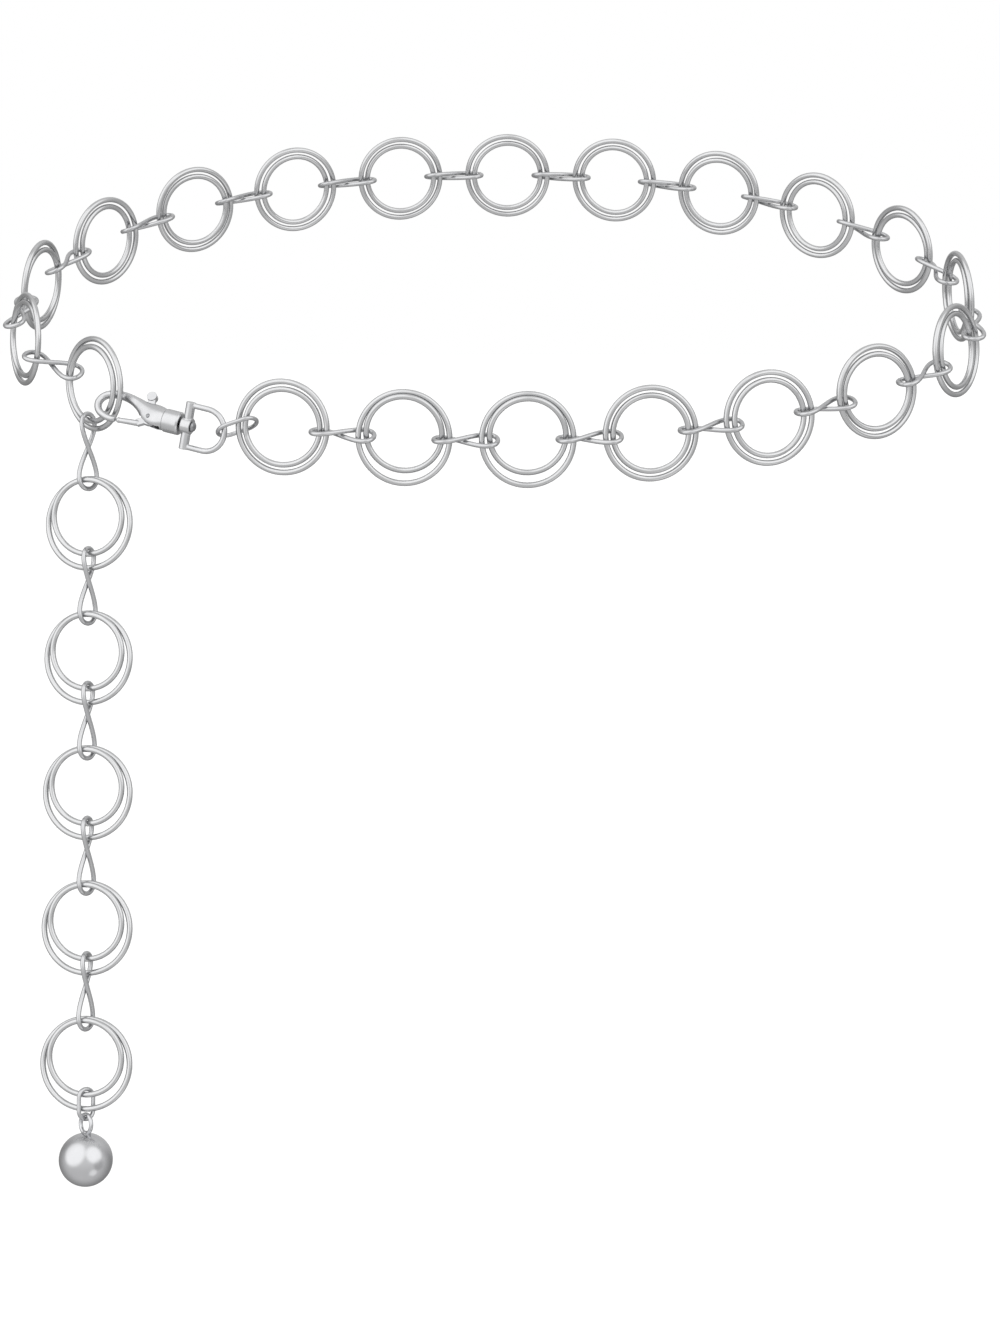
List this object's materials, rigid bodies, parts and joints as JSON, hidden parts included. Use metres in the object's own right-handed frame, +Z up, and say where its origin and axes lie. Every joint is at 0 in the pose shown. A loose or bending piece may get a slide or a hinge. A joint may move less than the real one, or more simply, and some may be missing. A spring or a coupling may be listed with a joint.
{
  "type": "waist chain",
  "caption": "Silver-tone waist chain of paired rings joined by figure-eight links, with a swivel trigger clasp and a hanging tail that ends in a ball.",
  "frame": {"origin": "middle of the waist that the loop goes round", "axes": "+Z up the wearer's body, -Y the front of the waist, +X to the right as seen from the front"},
  "size_m": [0.321, 0.1907, 0.3325],
  "materials": {
    "ring_metal": "polished plate",
    "link_metal": "polished plate",
    "clasp_metal": "satin-polished cast metal, plated",
    "ball_metal": "polished plate"
  },
  "bodies": {
    "chain": {"ring_pair_01": "ring_metal", "ring_pair_02": "ring_metal", "ring_pair_03": "ring_metal", "ring_pair_04": "ring_metal", "ring_pair_05": "ring_metal", "ring_pair_06": "ring_metal", "ring_pair_07": "ring_metal", "ring_pair_08": "ring_metal", "ring_pair_09": "ring_metal", "ring_pair_10": "ring_metal", "ring_pair_11": "ring_metal", "ring_pair_12": "ring_metal", "ring_pair_13": "ring_metal", "ring_pair_14": "ring_metal", "ring_pair_15": "ring_metal", "ring_pair_16": "ring_metal", "ring_pair_17": "ring_metal", "ring_pair_18": "ring_metal", "ring_pair_19": "ring_metal", "ring_pair_20": "ring_metal", "tail_pair_1": "ring_metal", "tail_pair_2": "ring_metal", "tail_pair_3": "ring_metal", "tail_pair_4": "ring_metal", "tail_pair_5": "ring_metal", "waist_links": "link_metal", "tail_links": "link_metal", "end_link": "link_metal", "ball": "ball_metal", "clasp_link": "link_metal", "clasp_d_ring": "clasp_metal", "swivel_post": "clasp_metal", "clasp_body": "clasp_metal", "gate_pin": "clasp_metal"},
    "gate": {"gate_lever": "clasp_metal"}
  },
  "joints": [
    {"name": "gate_hinge", "type": "hinge", "parent": "chain", "child": "gate", "pos_m": [-0.10823, -0.05055, -0.02861], "axis": [0.147, 0.7916, -0.5931], "range_deg": [0, 22], "stiffness_Nm_per_rad": 0.02, "springref_deg": -17.19}
  ]
}
